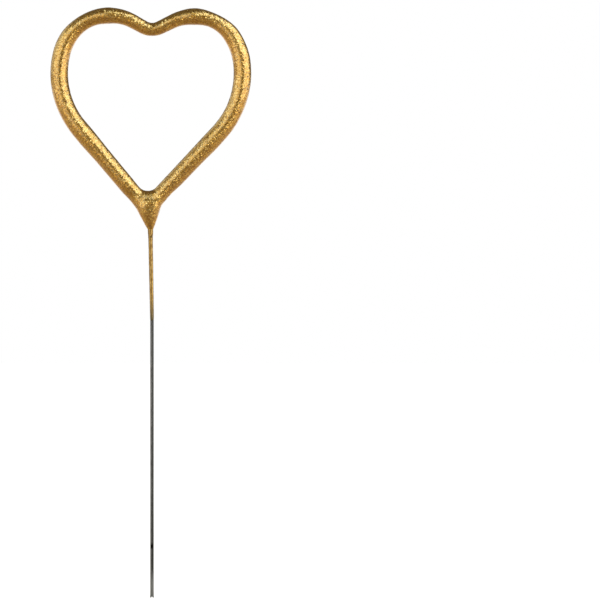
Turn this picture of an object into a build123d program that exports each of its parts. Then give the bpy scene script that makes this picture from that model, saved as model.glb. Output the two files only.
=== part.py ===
from build123d import *
import os
from math import acos, asin, degrees, radians, sin, sqrt, tan

# A heart-shaped sparkler. One steel wire is the stem and the heart inside, two dips of
# spark mixture dry on it, and a gold lacquer covers the heart and the upper stem.
# The bare stem stands on Z, the heart lies in XZ and faces -Y. Millimetres and degrees.

# Stem and fork, along the middle of the wire
wire_diameter = 1.05
bare_length = 84.5
bow_radius = 60
stem_lean = 1
gold_stem_length = 34.1
fork_bend = 2.5
tail_gap = 0.15
tail_drop = 0.7
tail_length = 3

# Heart, along the middle of the wire, with the right lobe a little lower than the left
heart_height = 58.1
lobe_step = 0.35
cleft_depth = 4.3
cleft_radius = 5.5
cleft_offset = 0.05
left_lobe_reach = 13.05
right_lobe_reach = 12.7
left_lobe_radius = 14.95
right_lobe_radius = 14.6
left_flank_radius = 25.8
right_flank_radius = 27
left_flank_start = 15
right_flank_start = 12

# Diameter over the lacquer, from the cleft down to the foot of each arm
cleft_coat = 4
crest_coat = 4.75
flank_coat = 5.3
arm_coat = 5.4
foot_coat = 4.95

# Web that rounds the crotch between the arms, and the cone from the fork down to the stem
web_radius = 3.6
web_depth = 2.8
cone_height = 7.4
cone_width = 8.5
cone_depth = 5.8
cone_shift = 0.6
cone_rise = 0.4
collar_width = 1.7

# Coats
lacquer_wall = 0.12
second_dip_wall = 0.8
sleeve_top_diameter = 1.5
sleeve_foot_diameter = 1.2
sleeve_overlap = 2

os.makedirs("parts", exist_ok=True)

# Points of the stem, where it leans past the dip line, and of the fork at its top
stem_up = Vector(0, 0, 1).rotate(Axis.Y, -stem_lean)
stem_left = Vector(-1, 0, 0).rotate(Axis.Y, -stem_lean)
bow_centre = Vector(-bow_radius, 0, bare_length)
dip_line = bow_centre - stem_left * bow_radius
fork = dip_line + stem_up * gold_stem_length
tail_corner = fork + stem_left * (wire_diameter + tail_gap) - stem_up * tail_drop
tail_end = tail_corner - stem_up * tail_length

# Points of the heart
lobe_top = fork.Z + heart_height
cleft = Vector(cleft_offset, 0, lobe_top - cleft_depth)
cleft_centre = cleft + Vector(0, 0, cleft_radius)


def heart_side(side, lobe_reach, lobe_radius, top, flank_radius, flank_start, corner):
    """One side's cleft end, lobe start, crest, flank top and arm top, in their order down the side."""
    lobe_centre = Vector(cleft.X + side * lobe_reach, 0, top - lobe_radius)
    to_lobe = lobe_centre - cleft_centre
    spread = degrees(acos((cleft_radius + lobe_radius) / to_lobe.length))
    to_leg = to_lobe.normalized().rotate(Axis.Y, side * spread)
    cleft_end = cleft_centre + to_leg * cleft_radius
    lobe_start = lobe_centre - to_leg * lobe_radius
    crest = lobe_centre + Vector(0, 0, lobe_radius)
    outward = Vector(side, 0, 0).rotate(Axis.Y, -side * flank_start)
    flank_top = lobe_centre + outward * lobe_radius
    to_flank = flank_top - outward * flank_radius - corner
    swing = degrees(asin(flank_radius / to_flank.length))
    arm_length = sqrt(to_flank.length**2 - flank_radius**2)
    arm_top = corner + to_flank.normalized().rotate(Axis.Y, side * swing) * arm_length
    return cleft_end, lobe_start, crest, flank_top, arm_top


left = heart_side(
    -1,
    left_lobe_reach,
    left_lobe_radius,
    lobe_top,
    left_flank_radius,
    left_flank_start,
    tail_corner,
)
right = heart_side(
    1,
    right_lobe_reach,
    right_lobe_radius,
    lobe_top - lobe_step,
    right_flank_radius,
    right_flank_start,
    fork,
)

# The crotch, where the middles of the two arms would cross
left_arm_up = (left[-1] - tail_corner).normalized()
right_arm_up = (right[-1] - fork).normalized()
crotch = Axis(tail_corner, left_arm_up).intersect(Axis(fork, right_arm_up))
crotch_up = (left_arm_up + right_arm_up).normalized()
crotch_angle = left_arm_up.get_angle(right_arm_up)

# The wire: up the stem, round the heart from the right arm to the left, and down its tail
with BuildPart() as core_wire:
    with BuildLine(Plane.XZ) as wire_line:
        cleft_end, lobe_start, crest, flank_top, arm_top = right
        stem = Line((0, 0), (0, bare_length))
        bow = JernArc(stem @ 1, stem % 1, bow_radius, stem_lean)
        right_arm = FilletPolyline(bow @ 1, fork, arm_top, radius=fork_bend)
        right_flank = TangentArc(arm_top, flank_top, tangent=right_arm % 1)
        right_lobe = TangentArc(flank_top, lobe_start, tangent=right_flank % 1)
        right_leg = Line(lobe_start, cleft_end)
        cleft_end, lobe_start, crest, flank_top, arm_top = left
        cleft_arc = TangentArc(right_leg @ 1, cleft_end, tangent=right_leg % 1)
        left_leg = Line(cleft_end, lobe_start)
        left_lobe = TangentArc(lobe_start, flank_top, tangent=left_leg % 1)
        left_flank = TangentArc(flank_top, arm_top, tangent=left_lobe % 1)
        left_arm = FilletPolyline(arm_top, tail_corner, tail_end, radius=fork_bend)
    with BuildSketch(Plane.XY):
        Circle(wire_diameter / 2)
    sweep(path=wire_line.wire())


def flat(point):
    """A point of the heart's plane as that plane's own x and y."""
    return point.X, point.Z


def coat(depth):
    """All that lies this deep or deeper under the lacquer's outside: heart, web and cone."""
    with BuildPart() as body:
        # Each half of the heart, from the cleft to a ball at the foot of its arm
        for side, points, corner in ((-1, left, tail_corner), (1, right, fork)):
            cleft_end, lobe_start, crest, flank_top, arm_top = points
            with BuildLine(Plane.XZ) as half:
                cleft_arc = TangentArc(cleft, cleft_end, tangent=(side, 0))
                leg = Line(cleft_end, lobe_start)
                lobe = TangentArc(lobe_start, flank_top, tangent=leg % 1)
                flank = TangentArc(flank_top, arm_top, tangent=lobe % 1)
                arm = Line(arm_top, corner)
            rings = (
                (cleft, cleft_arc % 0, cleft_coat),
                (crest, Vector(side, 0, 0), crest_coat),
                (flank_top, lobe % 1, flank_coat),
                (arm_top, arm % 0, arm_coat),
                (corner, arm % 1, foot_coat),
            )
            for place, along, diameter in rings:
                with BuildSketch(Plane(place, x_dir=(0, 1, 0), z_dir=along)):
                    Circle(diameter / 2 - depth)
            sweep(path=half.wire(), multisection=True)
            with Locations(corner):
                Sphere(foot_coat / 2 - depth)

        # The web, whose hollow edge runs smoothly into both arms
        arm_radius = foot_coat / 2 - depth
        reach = arm_radius + web_radius + depth
        web_centre = crotch + crotch_up * (reach / sin(radians(crotch_angle / 2)))
        web_run = reach / tan(radians(crotch_angle / 2))
        left_foot = crotch + left_arm_up * web_run
        right_foot = crotch + right_arm_up * web_run
        left_end = left_foot + (web_centre - left_foot).normalized() * arm_radius
        right_end = right_foot + (web_centre - right_foot).normalized() * arm_radius
        web_bottom = web_centre - crotch_up * (web_radius + depth)
        with BuildSketch(Plane.XZ):
            with BuildLine():
                Polyline([flat(p) for p in (left_end, left_foot, crotch, right_foot, right_end)])
                ThreePointArc(flat(right_end), flat(web_bottom), flat(left_end))
            make_face()
        extrude(amount=web_depth / 2 - depth, both=True)

        # The cone, from a brim inside the arms down to an end inside the wire
        end_radius = wire_diameter / 4
        slope = (cone_width - collar_width) / 2 / (cone_height + cone_rise)
        run_out = (collar_width / 2 - depth - end_radius) / slope
        cone_end = fork - stem_up * (cone_height + run_out)
        brim = fork + stem_left * cone_shift + stem_up * cone_rise
        brim_inset = depth / stem_up.dot(right_arm_up)
        with BuildSketch(Plane(cone_end, x_dir=-stem_left, z_dir=stem_up)):
            Circle(end_radius)
        with BuildSketch(Plane(brim, x_dir=-stem_left, z_dir=stem_up)):
            Ellipse(cone_width / 2 - brim_inset, cone_depth / 2 - depth)
        loft()
    return body.part


second_dip_outside = coat(lacquer_wall)
first_dip_outside = coat(lacquer_wall + second_dip_wall)

# The coats, each the space between two of those solids and clear of the wire
with BuildPart() as first_dip:
    add(first_dip_outside)
    add(core_wire.part, mode=Mode.SUBTRACT)

with BuildPart() as second_dip:
    add(second_dip_outside)
    add(first_dip_outside, mode=Mode.SUBTRACT)
    add(core_wire.part, mode=Mode.SUBTRACT)

with BuildPart() as gold_lacquer:
    add(coat(0))
    with BuildSketch(Plane(dip_line, x_dir=-stem_left, z_dir=stem_up)):
        Circle(sleeve_foot_diameter / 2)
    sleeve_top = fork - stem_up * (cone_height - sleeve_overlap)
    with BuildSketch(Plane(sleeve_top, x_dir=-stem_left, z_dir=stem_up)):
        Circle(sleeve_top_diameter / 2)
    loft()
    add(second_dip_outside, mode=Mode.SUBTRACT)
    add(core_wire.part, mode=Mode.SUBTRACT)

core_wire.part.label = "core_wire"
first_dip.part.label = "first_dip"
second_dip.part.label = "second_dip"
gold_lacquer.part.label = "gold_lacquer"

export_step(core_wire.part, "parts/core_wire.step")
export_step(first_dip.part, "parts/first_dip.step")
export_step(second_dip.part, "parts/second_dip.step")
export_step(gold_lacquer.part, "parts/gold_lacquer.step")
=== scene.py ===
from math import acos, asin, cos, pi, radians, sin, sqrt, tan

import bmesh
import bpy
from mathutils import Matrix, Vector


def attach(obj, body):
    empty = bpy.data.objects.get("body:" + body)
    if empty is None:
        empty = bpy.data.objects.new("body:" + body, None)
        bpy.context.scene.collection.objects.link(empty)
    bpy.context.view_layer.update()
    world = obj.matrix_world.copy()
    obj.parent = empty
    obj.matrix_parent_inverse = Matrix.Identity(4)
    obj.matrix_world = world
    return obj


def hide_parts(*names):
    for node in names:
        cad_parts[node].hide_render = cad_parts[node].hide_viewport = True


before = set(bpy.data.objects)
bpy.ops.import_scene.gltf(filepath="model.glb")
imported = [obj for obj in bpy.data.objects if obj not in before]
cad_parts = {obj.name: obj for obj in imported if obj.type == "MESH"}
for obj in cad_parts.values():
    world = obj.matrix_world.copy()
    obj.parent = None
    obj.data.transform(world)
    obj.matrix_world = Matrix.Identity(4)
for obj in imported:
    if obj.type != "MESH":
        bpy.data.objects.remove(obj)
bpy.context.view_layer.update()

# Core wire
# One length of plain drawn mild steel wire, bent cold on a jig: a straight stem, one turn round
# the heart and a short tail beside the stem. Cutting pliers cropped its lower end, which left a
# pinched, slightly spread tip.
MM = 0.001
wire_radius = 0.525 * MM
bare_length = 84.5 * MM
bow_radius = 60 * MM
stem_lean = radians(1)
gold_stem_length = 34.1 * MM
fork_bend = 2.5 * MM
tail_gap = 0.15 * MM
tail_drop = 0.7 * MM
tail_length = 3 * MM

heart_height = 58.1 * MM
lobe_step = 0.35 * MM
cleft_depth = 4.3 * MM
cleft_radius = 5.5 * MM
cleft_offset = 0.05 * MM
left_lobe_reach = 13.05 * MM
right_lobe_reach = 12.7 * MM
left_lobe_radius = 14.95 * MM
right_lobe_radius = 14.6 * MM
left_flank_radius = 25.8 * MM
right_flank_radius = 27 * MM
left_flank_start = radians(15)
right_flank_start = radians(12)

wire_sides = 20
wire_step = 1.5 * MM
bend_step = wire_step / 4


def turned(vector, angle):
    """A vector of the heart's plane, turned to the left as the heart is seen from its front."""
    return Matrix.Rotation(-angle, 3, "Y") @ vector


stem_up = turned(Vector((0, 0, 1)), stem_lean)
stem_left = turned(Vector((-1, 0, 0)), stem_lean)
bow_centre = Vector((-bow_radius, 0, bare_length))
dip_line = bow_centre - stem_left * bow_radius
fork = dip_line + stem_up * gold_stem_length
tail_corner = fork + stem_left * (2 * wire_radius + tail_gap) - stem_up * tail_drop
tail_end = tail_corner - stem_up * tail_length
lobe_top = fork.z + heart_height
cleft = Vector((cleft_offset, 0, lobe_top - cleft_depth))
cleft_centre = cleft + Vector((0, 0, cleft_radius))


def heart_side(side, lobe_reach, lobe_radius, top, flank_radius, flank_start, corner):
    """One side's cleft end, lobe start and centre, flank top and centre, and arm top, in that order."""
    lobe_centre = Vector((cleft.x + side * lobe_reach, 0, top - lobe_radius))
    to_lobe = lobe_centre - cleft_centre
    spread = acos((cleft_radius + lobe_radius) / to_lobe.length)
    to_leg = turned(to_lobe.normalized(), -side * spread)
    cleft_end = cleft_centre + to_leg * cleft_radius
    lobe_start = lobe_centre - to_leg * lobe_radius
    outward = turned(Vector((side, 0, 0)), side * flank_start)
    flank_top = lobe_centre + outward * lobe_radius
    flank_centre = flank_top - outward * flank_radius
    to_flank = flank_centre - corner
    swing = asin(flank_radius / to_flank.length)
    arm_length = sqrt(to_flank.length**2 - flank_radius**2)
    arm_top = corner + turned(to_flank.normalized(), -side * swing) * arm_length
    return cleft_end, lobe_start, lobe_centre, flank_top, flank_centre, arm_top


left_side = heart_side(
    -1,
    left_lobe_reach,
    left_lobe_radius,
    lobe_top,
    left_flank_radius,
    left_flank_start,
    tail_corner,
)
right_side = heart_side(
    1,
    right_lobe_reach,
    right_lobe_radius,
    lobe_top - lobe_step,
    right_flank_radius,
    right_flank_start,
    fork,
)


def start_ring(name, place, along, radius, sides):
    """A new object in edit mode: a filled ring round a place, square to the way that it goes."""
    bpy.ops.object.select_all(action="DESELECT")
    facing = along.to_track_quat("Z", "Y").to_euler()
    bpy.ops.mesh.primitive_circle_add(
        vertices=sides, radius=radius, fill_type="NGON", location=place, rotation=facing
    )
    piece = bpy.context.object
    piece.name = piece.data.name = name
    bpy.ops.object.transform_apply(location=True, rotation=True, scale=True)
    bpy.ops.object.mode_set(mode="EDIT")
    return piece


def push(place, goal, step, growth=1):
    """Extrudes the selected ring straight to a goal, with its radius growing evenly on the way."""
    steps = max(1, round((goal - place).length / step))
    for count in range(1, steps + 1):
        bpy.ops.mesh.extrude_region_move(
            TRANSFORM_OT_translate={"value": (goal - place) / steps}
        )
        bpy.ops.transform.resize(
            value=[growth ** (1 / steps)] * 3,
            center_override=place + (goal - place) * count / steps,
        )
    return goal


def swing_round(place, goal, centre, step, growth=1):
    """Extrudes the selected ring round a centre to a goal, with its radius growing evenly."""
    start_arm = place - centre
    goal_arm = goal - centre
    angle = start_arm.angle(goal_arm)
    if start_arm.cross(goal_arm).y > 0:
        angle = -angle
    steps = max(1, round(abs(angle) * start_arm.length / step))
    for count in range(1, steps + 1):
        bpy.ops.mesh.spin(
            steps=1, angle=angle / steps, center=centre, axis=(0, 1, 0), dupli=False
        )
        bpy.ops.transform.resize(
            value=[growth ** (1 / steps)] * 3,
            center_override=centre + turned(start_arm, angle * count / steps),
        )
    return goal


def bend_points(before, corner, after, radius):
    """Where a bend of this radius starts, its centre and where it ends, at a corner of the wire."""
    back = (before - corner).normalized()
    on = (after - corner).normalized()
    half = back.angle(on) / 2
    start = corner + back * (radius / tan(half))
    end = corner + on * (radius / tan(half))
    centre = corner + (back + on).normalized() * (radius / sin(half))
    return start, centre, end


def select_points(piece, chosen):
    """Selects, in edit mode, the points of a piece for whose place the test says yes."""
    bpy.ops.mesh.select_all(action="DESELECT")
    mesh = bmesh.from_edit_mesh(piece.data)
    for vertex in mesh.verts:
        vertex.select = chosen(vertex.co)
    mesh.select_flush(True)
    bmesh.update_edit_mesh(piece.data)


def end_shell():
    """Turns the faces of the closed shell in edit mode outwards, and leaves edit mode."""
    bpy.ops.mesh.select_all(action="SELECT")
    bpy.ops.mesh.normals_make_consistent(inside=False)
    bpy.ops.object.mode_set(mode="OBJECT")


crop_height = 1.4 * MM
crop_spread = 1.12
crop_pinch = 0.7
tip = Vector((0, 0, 0))
crop_top = Vector((0, 0, crop_height))
core_wire = start_ring("steel_wire", tip, crop_top, wire_radius, wire_sides)
bpy.ops.transform.resize(value=(crop_spread, crop_pinch, 1), center_override=tip)
bpy.ops.mesh.extrude_region_move(TRANSFORM_OT_translate={"value": crop_top})
bpy.ops.transform.resize(value=(1 / crop_spread, 1 / crop_pinch, 1), center_override=crop_top)
here = push(crop_top, Vector((0, 0, bare_length)), wire_step)
here = swing_round(here, dip_line, bow_centre, wire_step)
cleft_end, lobe_start, lobe_centre, flank_top, flank_centre, arm_top = right_side
bend_start, bend_centre, bend_end = bend_points(dip_line, fork, arm_top, fork_bend)
here = push(here, bend_start, wire_step)
here = swing_round(here, bend_end, bend_centre, bend_step)
here = push(here, arm_top, wire_step)
here = swing_round(here, flank_top, flank_centre, wire_step)
here = swing_round(here, lobe_start, lobe_centre, wire_step)
here = push(here, cleft_end, wire_step)
cleft_end, lobe_start, lobe_centre, flank_top, flank_centre, arm_top = left_side
here = swing_round(here, cleft_end, cleft_centre, wire_step)
here = push(here, lobe_start, wire_step)
here = swing_round(here, flank_top, lobe_centre, wire_step)
here = swing_round(here, arm_top, flank_centre, wire_step)
bend_start, bend_centre, bend_end = bend_points(arm_top, tail_corner, tail_end, fork_bend)
here = push(here, bend_start, wire_step)
here = swing_round(here, bend_end, bend_centre, bend_step)
here = push(here, tail_end, wire_step)

# The notch across the cropped end
notch_reach = 0.2 * MM
notch_depth = 0.3 * MM
same_point = 0.01 * MM
crease_angle = radians(40)
select_points(core_wire, lambda place: place.z < crop_height / 2)
bpy.ops.mesh.poke()
select_points(core_wire, lambda place: place.z < crop_height / 2 and abs(place.x) < notch_reach)
bpy.ops.transform.translate(value=(0, 0, notch_depth))
bpy.ops.mesh.select_all(action="SELECT")
bpy.ops.mesh.remove_doubles(threshold=same_point)
end_shell()
bpy.ops.object.shade_smooth_by_angle(angle=crease_angle)


def linear(hex_colour):
    """An sRGB hex colour as the linear colour that a shader takes."""
    channels = [int(hex_colour[i : i + 2], 16) / 255 for i in (1, 3, 5)]
    return [c / 12.92 if c <= 0.04045 else ((c + 0.055) / 1.055) ** 2.4 for c in channels] + [1]


def new_material(name):
    """A material with an empty node tree, and that tree."""
    material = bpy.data.materials.new(name)
    material.use_nodes = True
    material.node_tree.nodes.clear()
    return material, material.node_tree


def add_node(tree, kind, options, sockets):
    """A new node with its options, and each socket set to a value or linked from (node, output)."""
    made = tree.nodes.new("ShaderNode" + kind)
    for name, value in options.items():
        setattr(made, name, value)
    for name, value in sockets.items():
        if isinstance(value, tuple):
            tree.links.new(value[0].outputs[value[1]], made.inputs[name])
        else:
            made.inputs[name].default_value = value
    return made


def ramp_colours(ramp, stops):
    """Sets a colour ramp's stops from (position, hex colour) pairs."""
    elements = ramp.color_ramp.elements
    while len(elements) < len(stops):
        elements.new(1)
    for element, (position, hex_colour) in zip(elements, stops):
        element.position = position
        element.color = linear(hex_colour)


# Drawn mild steel: dark grey metal with fine lines along it from the die, oxide stains and a dark
# line of painted shade down its right side. One stain is nearly black, and below it the jig that
# held the end scuffed it dull.
# Real die lines are near 0.02 mm wide. They are drawn coarser, so that they show.
steel, tree = new_material("drawn_mild_steel")
coordinates = add_node(tree, "TexCoord", {}, {})
place = add_node(tree, "SeparateXYZ", {}, {"Vector": (coordinates, "Object")})
stain_size = 4 * MM
stain = add_node(
    tree,
    "TexNoise",
    {},
    {"Vector": (coordinates, "Object"), "Scale": 1 / stain_size, "Detail": 4.0, "Roughness": 0.6},
)
stain_ramp = add_node(tree, "ValToRGB", {}, {"Fac": (stain, "Fac")})
ramp_colours(stain_ramp, [(0.3, "#4b4c4a"), (0.52, "#727371"), (0.75, "#858684")])
# Painted shade: a dark line along the whole wire, a little right of its middle, where it lies in shade.
shade_line = 0.22 * MM
shade_line_inner = 0.14 * MM
shade_line_outer = 0.42 * MM
from_shade_line = add_node(
    tree, "Math", {"operation": "SUBTRACT"}, {0: (place, "X"), 1: shade_line}
)
off_shade_line = add_node(
    tree, "Math", {"operation": "ABSOLUTE"}, {0: (from_shade_line, "Value")}
)
shade_line_share = add_node(
    tree,
    "MapRange",
    {"interpolation_type": "SMOOTHSTEP"},
    {"Value": (off_shade_line, "Value"), "From Min": shade_line_outer, "From Max": shade_line_inner},
)
shaded_steel_tone = add_node(
    tree,
    "Mix",
    {"data_type": "RGBA"},
    {0: (shade_line_share, "Result"), 6: (stain_ramp, "Color"), 7: linear("#4c4d4b")},
)
dark_stain = Vector((-0.15, -0.5, 15.7)) * MM
dark_stain_reach = 1.1 * MM
to_dark_stain = add_node(
    tree, "VectorMath", {"operation": "DISTANCE"}, {0: (coordinates, "Object"), 1: list(dark_stain)}
)
dark_stain_share = add_node(
    tree,
    "MapRange",
    {"interpolation_type": "SMOOTHSTEP"},
    {
        "Value": (to_dark_stain, "Value"),
        "From Min": dark_stain_reach,
        "From Max": dark_stain_reach / 3,
    },
)
stained_tone = add_node(
    tree,
    "Mix",
    {"data_type": "RGBA"},
    {0: (dark_stain_share, "Result"), 6: (shaded_steel_tone, 2), 7: linear("#1f1e1c")},
)
scuff_top = 9 * MM
scuff_full = 5 * MM
scuff = add_node(
    tree, "MapRange", {}, {"Value": (place, "Z"), "From Min": scuff_top, "From Max": scuff_full}
)
steel_tone = add_node(
    tree,
    "Mix",
    {"data_type": "RGBA"},
    {0: (scuff, "Result"), 6: (stained_tone, 2), 7: linear("#8b8d8b")},
)
line_width = 0.12 * MM
line_length = 12 * MM
line_depth = 0.03 * MM
line_map = add_node(
    tree,
    "Mapping",
    {},
    {"Vector": (coordinates, "Object"), "Scale": [1 / line_width, 1 / line_width, 1 / line_length]},
)
die_lines = add_node(
    tree, "TexNoise", {}, {"Vector": (line_map, "Vector"), "Scale": 1.0, "Detail": 2.0}
)
steel_roughness = add_node(
    tree,
    "MapRange",
    {},
    {"Value": (die_lines, "Fac"), "To Min": 0.15, "To Max": 0.3},
)
scuffed_roughness = add_node(
    tree,
    "Math",
    {"operation": "MULTIPLY_ADD"},
    {0: (scuff, "Result"), 1: 0.3, 2: (steel_roughness, "Result")},
)
steel_bump = add_node(
    tree,
    "Bump",
    {},
    {"Height": (die_lines, "Fac"), "Strength": 0.25, "Distance": line_depth},
)
steel_shader = add_node(
    tree,
    "BsdfPrincipled",
    {},
    {
        "Base Color": (steel_tone, 2),
        "Metallic": 1.0,
        "Specular Tint": linear("#6c6c6a"),
        "Roughness": (scuffed_roughness, "Value"),
        "Normal": (steel_bump, "Normal"),
    },
)
add_node(tree, "OutputMaterial", {}, {"Surface": (steel_shader, "BSDF")})
core_wire.data.materials.append(steel)
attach(core_wire, "root")
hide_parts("core_wire")

# Spark mixture
# Two dips of a grey slurry of oxidiser, binder and metal grit, dried on the wire one over the
# other. The first is out of sight inside, so its solid stays and only gets its finish, and the
# second is modelled together with the lacquer that lies on it.
first_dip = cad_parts["first_dip"]

# Dried slurry: matt dark grey, with small bright flecks of metal in it.
mixture, tree = new_material("dried_spark_mixture")
coordinates = add_node(tree, "TexCoord", {}, {})
fleck_size = 0.35 * MM
fleck_depth = 0.1 * MM
flecks = add_node(
    tree, "TexVoronoi", {}, {"Vector": (coordinates, "Object"), "Scale": 1 / fleck_size}
)
mixture_ramp = add_node(tree, "ValToRGB", {}, {"Fac": (flecks, "Distance")})
ramp_colours(mixture_ramp, [(0.1, "#a09e98"), (0.25, "#57554f"), (0.8, "#3d3b37")])
mixture_bump = add_node(
    tree,
    "Bump",
    {"invert": True},
    {"Height": (flecks, "Distance"), "Strength": 0.6, "Distance": fleck_depth},
)
mixture_shader = add_node(
    tree,
    "BsdfPrincipled",
    {},
    {
        "Base Color": (mixture_ramp, "Color"),
        "Roughness": 0.85,
        "Normal": (mixture_bump, "Normal"),
    },
)
add_node(tree, "OutputMaterial", {}, {"Surface": (mixture_shader, "BSDF")})
first_dip.data.materials.clear()
first_dip.data.materials.append(mixture)

# Gold coat
# Bronze-powder lacquer that the dried heart was dipped in. It is a thin skin, so the grit of the
# mixture stands through it as fine grain, and it has gathered in the crotch and down the cone.
cleft_coat = 4.05 * MM
leg_coat = 4.35 * MM
crest_coat = 4.85 * MM
flank_coat = 5.4 * MM
arm_coat = 5.5 * MM
foot_coat = 5 * MM
cleft_growth = sqrt(cleft_coat / leg_coat)
coat_sides = 32
coat_step = 1 * MM
tight_step = coat_step / 2

gold_coat = start_ring("gold_coat", fork, right_side[-1] - fork, foot_coat / 2, coat_sides)
cleft_end, lobe_start, lobe_centre, flank_top, flank_centre, arm_top = right_side
crest = lobe_centre + Vector((0, 0, right_lobe_radius))
here = push(fork, arm_top, coat_step, arm_coat / foot_coat)
here = swing_round(here, flank_top, flank_centre, coat_step, flank_coat / arm_coat)
here = swing_round(here, crest, lobe_centre, coat_step, crest_coat / flank_coat)
here = swing_round(here, lobe_start, lobe_centre, coat_step, leg_coat / crest_coat)
here = push(here, cleft_end, coat_step, cleft_growth)
here = swing_round(here, cleft, cleft_centre, tight_step, cleft_growth)
cleft_end, lobe_start, lobe_centre, flank_top, flank_centre, arm_top = left_side
crest = lobe_centre + Vector((0, 0, left_lobe_radius))
here = swing_round(here, cleft_end, cleft_centre, tight_step, 1 / cleft_growth)
here = push(here, lobe_start, coat_step, 1 / cleft_growth)
here = swing_round(here, crest, lobe_centre, coat_step, crest_coat / leg_coat)
here = swing_round(here, flank_top, lobe_centre, coat_step, flank_coat / crest_coat)
here = swing_round(here, arm_top, flank_centre, coat_step, arm_coat / flank_coat)
here = push(here, tail_corner, coat_step, foot_coat / arm_coat)
end_shell()

# The cone from the stem up to a brim between the arms, and its crown above that
cone_height = 7.4 * MM
cone_width = 8.5 * MM
cone_depth = 5.8 * MM
cone_shift = 0.6 * MM
cone_rise = 0.4 * MM
collar_width = 1.7 * MM
cone_bulge = 0.03
crown_height = 3 * MM
ring_count = 8
brim = fork + stem_left * cone_shift + stem_up * cone_rise
collar = fork - stem_up * cone_height
cone_rings = [(collar, collar_width, collar_width)]
for count in range(1, ring_count + 1):
    share = count / ring_count
    swollen = share + cone_bulge * sin(pi * share)
    place = collar + (brim - collar) * share
    width = collar_width + (cone_width - collar_width) * swollen
    depth = collar_width + (cone_depth - collar_width) * sin(pi / 2 * share)
    cone_rings.append((place, width, depth))
for count in range(1, ring_count):
    slope = pi / 2 * count / ring_count
    place = brim + stem_up * crown_height * sin(slope)
    cone_rings.append((place, cone_width * cos(slope), cone_depth * cos(slope)))

bpy.ops.object.select_all(action="DESELECT")
bpy.ops.mesh.primitive_circle_add(
    vertices=coat_sides, radius=collar_width / 2, fill_type="NGON", location=collar
)
cone = bpy.context.object
bpy.ops.object.transform_apply(location=True)
bpy.ops.object.mode_set(mode="EDIT")
for (place, width, depth), (goal, goal_width, goal_depth) in zip(cone_rings, cone_rings[1:]):
    bpy.ops.mesh.extrude_region_move(TRANSFORM_OT_translate={"value": goal - place})
    bpy.ops.transform.resize(
        value=(goal_width / width, goal_depth / depth, 1), center_override=goal
    )
end_shell()

# A ball that rounds the foot of each arm
arm_ball = foot_coat / 2
balls = []
for corner in (fork, tail_corner):
    bpy.ops.mesh.primitive_uv_sphere_add(
        segments=coat_sides, ring_count=coat_sides // 2, radius=arm_ball, location=corner
    )
    balls.append(bpy.context.object)

# The web that rounds the crotch, as a bar bent from one arm to the other
web_radius = 3.6 * MM
web_depth = 4.4 * MM
left_arm_up = (left_side[-1] - tail_corner).normalized()
right_arm_up = (right_side[-1] - fork).normalized()
crotch_up = (left_arm_up + right_arm_up).normalized()
half_crotch = left_arm_up.angle(right_arm_up) / 2
across_arms = fork - tail_corner
crotch_reach = across_arms.cross(right_arm_up).y / left_arm_up.cross(right_arm_up).y
crotch = tail_corner + left_arm_up * crotch_reach
web_reach = foot_coat / 2 + web_radius
web_centre = crotch + crotch_up * (web_reach / sin(half_crotch))
to_left_arm = turned(left_arm_up, pi / 2)
to_right_arm = turned(right_arm_up, -pi / 2)
web_bar = web_radius + web_depth / 2
web_start = web_centre + to_left_arm * web_bar
web_end = web_centre + to_right_arm * web_bar
web = start_ring("web", web_start, -left_arm_up, web_depth / 2, coat_sides)
swing_round(web_start, web_end, web_centre, tight_step)
end_shell()

bpy.ops.object.select_all(action="DESELECT")
for part in (cone, web, *balls, gold_coat):
    part.select_set(True)
bpy.context.view_layer.objects.active = gold_coat
bpy.ops.object.join()

grain_mesh = 0.215 * MM


def fuse(piece):
    """Makes the closed shells of a piece one skin of even, small faces."""
    remesh = piece.modifiers.new("skin", "REMESH")
    remesh.mode = "VOXEL"
    remesh.voxel_size = grain_mesh
    bpy.ops.object.modifier_apply(modifier=remesh.name)


def mark_round(piece, place, inner, outer):
    """A vertex group that is full within the inner distance of a place and empty past the outer."""
    group = piece.vertex_groups.new(name="marked")
    for vertex in piece.data.vertices:
        share = min(1, (outer - (vertex.co - place).length) / (outer - inner))
        if share > 0:
            group.add([vertex.index], share**2 * (3 - 2 * share), "REPLACE")
    return group


def smooth_out(piece, group, rounds):
    """Evens out the marked stretch of a piece."""
    smooth = piece.modifiers.new("smooth", "SMOOTH")
    smooth.factor = 0.5
    smooth.iterations = rounds
    smooth.vertex_group = group.name
    bpy.ops.object.modifier_apply(modifier=smooth.name)
    piece.vertex_groups.clear()


# The wet coat has flowed together round the fork: hollows have filled, and what stands out is left
flow_inner = 4 * MM
flow_outer = 7 * MM
flow_rounds = 200
flow_drop = 1.5 * MM
seam_inner = 7 * MM
seam_outer = 10 * MM
seam_rounds = 12
flow_middle = fork - stem_up * flow_drop
fuse(gold_coat)
bpy.ops.object.duplicate()
smoothed_coat = bpy.context.object
smooth_out(smoothed_coat, mark_round(smoothed_coat, flow_middle, flow_inner, flow_outer), flow_rounds)
gold_coat.select_set(True)
bpy.context.view_layer.objects.active = gold_coat
bpy.ops.object.join()
fuse(gold_coat)
smooth_out(gold_coat, mark_round(gold_coat, fork, seam_inner, seam_outer), seam_rounds)


def swell(piece, place, reach, height):
    """Raises the coat round a place, or with a negative height lowers it, fading out at its reach."""
    group = mark_round(piece, place, 0, reach)
    displace = piece.modifiers.new("swell", "DISPLACE")
    displace.strength = height
    displace.mid_level = 0
    displace.vertex_group = group.name
    bpy.ops.object.modifier_apply(modifier=displace.name)
    piece.vertex_groups.clear()


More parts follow.
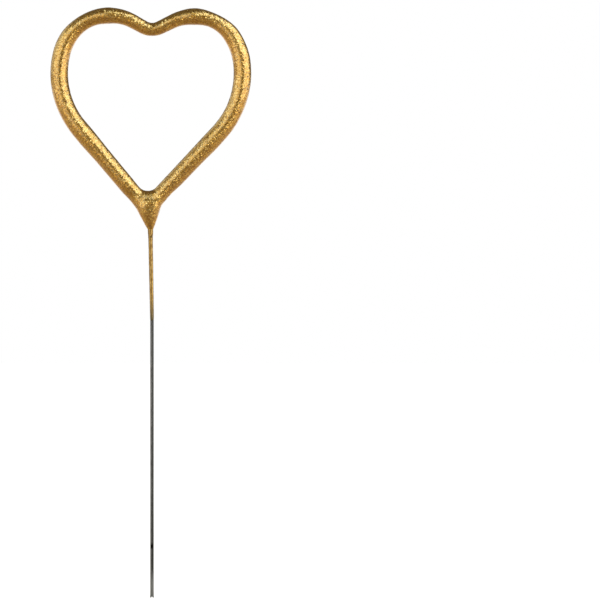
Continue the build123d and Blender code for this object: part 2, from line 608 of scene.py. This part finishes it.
def roughen(piece, name, size, height, depth=2):
    """Displaces a piece along its normals by a cloudy pattern of this size, over this height."""
    pattern = bpy.data.textures.new(name, "CLOUDS")
    pattern.noise_scale = size
    pattern.noise_depth = depth
    displace = piece.modifiers.new(name, "DISPLACE")
    displace.texture = pattern
    displace.texture_coords = "LOCAL"
    displace.strength = height
    bpy.ops.object.modifier_apply(modifier=displace.name)


# Where the coat ran thin or gathered before it set: the place, its reach and its height in mm
uneven_places = {
    "right_arm_above_cone": ((6, 0, 123), 5, -0.24),
    "front_of_left_foot": ((-5.6, -2.4, 122), 5, -0.5),
    "front_of_stem_bend": ((1.1, -2.6, 119.6), 3, 0.26),
    "valley_beside_it": ((-0.4, -2.9, 119.2), 2.2, -0.25),
    "left_crest": ((-13.4, 0, 176.8), 4.5, 0.22),
    "left_shoulder": ((-20.8, 0, 175.6), 8, -0.24),
    "left_flank": ((-21.6, 0, 139.6), 9, 0.22),
    "right_crest": ((12.6, 0, 177.2), 5.5, 0.28),
    "right_shoulder": ((19.3, 0, 175.9), 7, -0.3),
    "inside_right_lobe": ((22.6, 0, 167.4), 5.5, 0.22),
    "outside_right_lobe": ((29.2, 0, 169.8), 5.5, -0.15),
    "right_flank": ((25.4, 0, 149.4), 8, -0.1),
    "outside_right_arm": ((18.6, 0, 137.6), 6, 0.16),
}
for place, reach, height in uneven_places.values():
    swell(gold_coat, Vector(place) * MM, reach * MM, height * MM)
roughen(gold_coat, "sags", size=6 * MM, height=0.05 * MM)
roughen(gold_coat, "lumps", size=1.4 * MM, height=0.03 * MM)
roughen(gold_coat, "grit", size=0.45 * MM, height=0.05 * MM, depth=1)
bpy.ops.object.shade_smooth()

# Bronze-powder lacquer: warm metallic gold under a clear skin. Each flake is a small mirror of its
# own, a few stand far out of line and glint, and painted shade makes it browner on its undersides.
# Real flakes are near 0.05 mm. They are drawn coarser, so that they show.
lacquer, tree = new_material("bronze_powder_lacquer")
coordinates = add_node(tree, "TexCoord", {}, {})
surface = add_node(tree, "NewGeometry", {}, {})
flake_size = 0.3 * MM
stray_rarity = 5.0
least_tilt = 0.2
most_tilt = 1.0
underside_shade_edge = 0.4
underside_shade_full = -0.5
flakes = add_node(
    tree, "TexVoronoi", {}, {"Vector": (coordinates, "Object"), "Scale": 1 / flake_size}
)
flake_choice = add_node(tree, "SeparateColor", {}, {"Color": (flakes, "Color")})
stray = add_node(
    tree, "Math", {"operation": "POWER"}, {0: (flake_choice, "Green"), 1: stray_rarity}
)
tilt_size = add_node(
    tree, "MapRange", {}, {"Value": (stray, "Value"), "To Min": least_tilt, "To Max": most_tilt}
)
tilt = add_node(
    tree, "VectorMath", {"operation": "SUBTRACT"}, {0: (flakes, "Color"), 1: [0.5, 0.5, 0.5]}
)
flake_tilt = add_node(
    tree, "VectorMath", {"operation": "SCALE"}, {0: (tilt, "Vector"), "Scale": (tilt_size, "Result")}
)
flake_normal = add_node(
    tree, "VectorMath", {"operation": "ADD"}, {0: (surface, "Normal"), 1: (flake_tilt, "Vector")}
)
flake_facing = add_node(tree, "VectorMath", {"operation": "NORMALIZE"}, {0: (flake_normal, "Vector")})
flake_tones = add_node(tree, "ValToRGB", {}, {"Fac": (flake_choice, "Red")})
ramp_colours(flake_tones, [(0, "#b08635"), (0.5, "#d8b45d"), (1, "#ecd894")])
# Painted shade: the colour turns browner where the surface faces down.
facing = add_node(tree, "SeparateXYZ", {}, {"Vector": (surface, "Normal")})
underside_shade = add_node(
    tree,
    "MapRange",
    {"interpolation_type": "SMOOTHSTEP"},
    {"Value": (facing, "Z"), "From Min": underside_shade_edge, "From Max": underside_shade_full},
)
shaded_lacquer_tone = add_node(
    tree,
    "Mix",
    {"data_type": "RGBA", "blend_type": "MULTIPLY"},
    {0: (underside_shade, "Result"), 6: (flake_tones, "Color"), 7: linear("#f6d287")},
)
lacquer_shader = add_node(
    tree,
    "BsdfPrincipled",
    {},
    {
        "Base Color": (shaded_lacquer_tone, 2),
        "Metallic": 1.0,
        "Roughness": 0.27,
        "Normal": (flake_facing, "Vector"),
        "Coat Weight": 1.0,
        "Coat Roughness": 0.15,
    },
)
add_node(tree, "OutputMaterial", {}, {"Surface": (lacquer_shader, "BSDF")})
gold_coat.data.materials.clear()
gold_coat.data.materials.append(lacquer)
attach(gold_coat, "root")
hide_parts("gold_lacquer", "second_dip")

# Gold sleeve
# The lacquer that ran down the stem from the heart. It gathered in a bead under the cone, and from
# there it thins out to the dip line, which shows how deep the stem went into the lacquer.
sleeve_sides = 24
sleeve_step = 0.2 * MM
sleeve_edge = 1.07 * MM
sleeve_foot = 1.18 * MM
sleeve_top = 1.38 * MM
bead_width = 1.66 * MM
bead_length = 3.3 * MM
bead_rings = 10
drip_offset = Vector((0.3, -0.7, -0.1)) * MM
drip_reach = 0.7 * MM
drip_height = 0.3 * MM
edge_slant = radians(25)
sleeve_overlap = 1.2 * MM
bow_start = Vector((0, 0, bare_length))
bead_foot = collar - stem_up * bead_length
bead_drip = bead_foot + stem_up * bead_length / 2 + drip_offset

gold_sleeve = start_ring("gold_sleeve", bow_start, bow_start, sleeve_edge / 2, sleeve_sides)
here = swing_round(bow_start, dip_line, bow_centre, sleeve_step, sleeve_foot / sleeve_edge)
here = push(here, bead_foot, sleeve_step, sleeve_top / sleeve_foot)
width = sleeve_top
for ring in range(1, bead_rings + 1):
    goal = bead_foot + stem_up * bead_length * ring / bead_rings
    goal_width = sleeve_top + (bead_width - sleeve_top) * (1 - cos(pi * ring / bead_rings)) / 2
    here = push(here, goal, sleeve_step, goal_width / width)
    width = goal_width
push(here, collar + stem_up * sleeve_overlap, sleeve_step)
select_points(gold_sleeve, lambda place: place.z < bare_length + sleeve_step / 2)
bpy.ops.transform.rotate(value=edge_slant, orient_axis="Y", center_override=bow_start)
end_shell()
roughen(gold_sleeve, "runs", size=1.2 * MM, height=0.07 * MM)
swell(gold_sleeve, bead_drip, drip_reach, drip_height)
bpy.ops.object.shade_smooth()

# Thinned lacquer: the same gold, so thin that it streaks along the wire, and towards the dip line
# the steel darkens it.
thin_lacquer, tree = new_material("thinned_bronze_lacquer")
coordinates = add_node(tree, "TexCoord", {}, {})
streak_width = 0.35 * MM
streak_length = 1.2 * MM
streak_depth = 0.05 * MM
thin_length = 8 * MM
streak_map = add_node(
    tree,
    "Mapping",
    {},
    {
        "Vector": (coordinates, "Object"),
        "Scale": [1 / streak_width, 1 / streak_width, 1 / streak_length],
    },
)
streaks = add_node(
    tree, "TexNoise", {}, {"Vector": (streak_map, "Vector"), "Scale": 1.0, "Detail": 3.0}
)
streak_tones = add_node(tree, "ValToRGB", {}, {"Fac": (streaks, "Fac")})
ramp_colours(streak_tones, [(0.3, "#7b5a24"), (0.5, "#a88647"), (0.7, "#c2a569")])
place = add_node(tree, "SeparateXYZ", {}, {"Vector": (coordinates, "Object")})
thinness = add_node(
    tree,
    "MapRange",
    {},
    {"Value": (place, "Z"), "From Min": bare_length + thin_length, "From Max": bare_length},
)
thin_tone = add_node(
    tree,
    "Mix",
    {"data_type": "RGBA"},
    {0: (thinness, "Result"), 6: (streak_tones, "Color"), 7: linear("#6a5f42")},
)
streak_bump = add_node(
    tree,
    "Bump",
    {},
    {"Height": (streaks, "Fac"), "Strength": 0.5, "Distance": streak_depth},
)
thin_shader = add_node(
    tree,
    "BsdfPrincipled",
    {},
    {
        "Base Color": (thin_tone, 2),
        "Metallic": 1.0,
        "Roughness": 0.3,
        "Normal": (streak_bump, "Normal"),
        "Coat Weight": 0.3,
        "Coat Roughness": 0.15,
    },
)
add_node(tree, "OutputMaterial", {}, {"Surface": (thin_shader, "BSDF")})
gold_sleeve.data.materials.append(thin_lacquer)
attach(gold_sleeve, "root")

# Studio
# A white paper floor at the foot of the wire, a large soft box on each side of the camera, a weaker
# one behind on the left, a warm room, and a camera square to the heart's front.
floor_size = 8
bpy.ops.object.select_all(action="DESELECT")
bpy.ops.mesh.primitive_plane_add(size=floor_size, location=(0, 0, 0))
floor = bpy.context.object
floor.name = floor.data.name = "floor"

# White paper: matt and even. Away from the sparkler it is as white as the backdrop, and the metal
# mirrors it white behind the sparkler and pale beside it.
paper, tree = new_material("white_paper")
near_edge = 0.2
near_level = 0.8
far_edge = 0.6
side_lean = 0.2
beside_edge = 0.15
beside_level = 0.26
coordinates = add_node(tree, "TexCoord", {}, {})
away = add_node(tree, "VectorMath", {"operation": "LENGTH"}, {0: (coordinates, "Object")})
far_share = add_node(
    tree,
    "MapRange",
    {"interpolation_type": "SMOOTHSTEP"},
    {"Value": (away, "Value"), "From Min": near_edge, "From Max": far_edge},
)
place = add_node(tree, "SeparateXYZ", {}, {"Vector": (coordinates, "Object")})
sideways = add_node(tree, "Math", {"operation": "ABSOLUTE"}, {0: (place, "X")})
from_front = add_node(
    tree,
    "Math",
    {"operation": "MULTIPLY_ADD"},
    {0: (sideways, "Value"), 1: side_lean, 2: (place, "Y")},
)
back_share = add_node(
    tree,
    "MapRange",
    {"interpolation_type": "SMOOTHSTEP"},
    {"Value": (from_front, "Value"), "From Min": 0.0, "From Max": far_edge},
)
beside = add_node(tree, "Math", {"operation": "ADD"}, {0: (sideways, "Value"), 1: (place, "Y")})
beside_share = add_node(
    tree,
    "MapRange",
    {"interpolation_type": "SMOOTHSTEP"},
    {
        "Value": (beside, "Value"),
        "From Min": 0.0,
        "From Max": beside_edge,
        "To Max": beside_level,
    },
)
mirror_share = add_node(
    tree, "Math", {"operation": "MAXIMUM"}, {0: (back_share, "Result"), 1: (beside_share, "Result")}
)
light_path = add_node(tree, "LightPath", {}, {})
mirrored = add_node(
    tree,
    "Math",
    {"operation": "MAXIMUM"},
    {0: (light_path, "Is Glossy Ray"), 1: (light_path, "Is Transmission Ray")},
)
mirrored_paper = add_node(
    tree, "Math", {"operation": "MULTIPLY"}, {0: (mirrored, "Value"), 1: (mirror_share, "Value")}
)
camera_glow = add_node(
    tree, "MapRange", {}, {"Value": (far_share, "Result"), "To Min": near_level, "To Max": 1.0}
)
camera_share = add_node(
    tree,
    "Math",
    {"operation": "MULTIPLY"},
    {0: (light_path, "Is Camera Ray"), 1: (camera_glow, "Result")},
)
glow = add_node(
    tree, "Math", {"operation": "MAXIMUM"}, {0: (mirrored_paper, "Value"), 1: (camera_share, "Value")}
)
paper_glow = add_node(
    tree, "Emission", {}, {"Color": linear("#ffffff"), "Strength": (glow, "Value")}
)
paper_diffuse = add_node(tree, "BsdfDiffuse", {}, {"Color": linear("#bdbdbb")})
paper_sum = add_node(tree, "AddShader", {}, {0: (paper_diffuse, "BSDF"), 1: (paper_glow, "Emission")})
add_node(tree, "OutputMaterial", {}, {"Surface": (paper_sum, "Shader")})
floor.data.materials.append(paper)

# The room: white where it is seen and in the backdrop that the metal mirrors, warm and dim elsewhere
backdrop_edge = 0.92
backdrop_full = 0.98
world = bpy.data.worlds.new("studio")
bpy.context.scene.world = world
world.use_nodes = True
tree = world.node_tree
tree.nodes.clear()
light_path = add_node(tree, "LightPath", {}, {})
way = add_node(tree, "TexCoord", {}, {})
way_back = add_node(tree, "SeparateXYZ", {}, {"Vector": (way, "Generated")})
backdrop_share = add_node(
    tree,
    "MapRange",
    {"interpolation_type": "SMOOTHSTEP"},
    {"Value": (way_back, "Y"), "From Min": backdrop_edge, "From Max": backdrop_full},
)
mirrored = add_node(
    tree,
    "Math",
    {"operation": "MULTIPLY"},
    {0: (light_path, "Is Glossy Ray"), 1: (backdrop_share, "Result")},
)
direct = add_node(
    tree,
    "Math",
    {"operation": "MAXIMUM"},
    {0: (light_path, "Is Camera Ray"), 1: (light_path, "Is Transmission Ray")},
)
seen = add_node(
    tree, "Math", {"operation": "MAXIMUM"}, {0: (direct, "Value"), 1: (mirrored, "Value")}
)
room_tone = add_node(
    tree,
    "Mix",
    {"data_type": "RGBA"},
    {0: (seen, "Value"), 6: linear("#74664f"), 7: linear("#ffffff")},
)
sky = add_node(tree, "Background", {}, {"Color": (room_tone, 2), "Strength": 1.0})
add_node(tree, "OutputWorld", {}, {"Surface": (sky, "Background")})

heart_middle = Vector((0, 0, 150)) * MM


def add_soft_box(name, way, width, height, level):
    """An area lamp of this radiance, turned to the heart. The camera itself doesn't see it."""
    place = heart_middle + Vector(way)
    facing = (-Vector(way)).to_track_quat("-Z", "Y").to_euler()
    bpy.ops.object.light_add(type="AREA", location=place, rotation=facing)
    lamp = bpy.context.object
    lamp.name = lamp.data.name = name
    lamp.data.shape = "RECTANGLE"
    lamp.data.size = width
    lamp.data.size_y = height
    lamp.data.energy = level * pi * width * height
    lamp.visible_camera = False


add_soft_box("right_soft_box", (0.49, -0.26, 0.225), width=0.95, height=1.1, level=1.65)
add_soft_box("left_soft_box", (-0.47, -0.5, 0.12), width=0.98, height=0.74, level=1.2)
add_soft_box("left_fill", (-0.63, 0.255, 0.317), width=0.8, height=0.6, level=0.6)

# The camera is level, and far enough away that the heart shows nearly flat
photo_width = 183.2 * MM
photo_middle = Vector((45.19, 0, 90.84)) * MM
camera_distance = 1.1
bpy.ops.object.camera_add(
    location=photo_middle - Vector((0, camera_distance, 0)), rotation=(pi / 2, 0, 0)
)
camera = bpy.context.object
camera.data.sensor_width = 36
camera.data.lens = camera.data.sensor_width * camera_distance / photo_width
camera.data.clip_end = 20
bpy.context.scene.camera = camera
bpy.context.scene.view_settings.view_transform = "Standard"
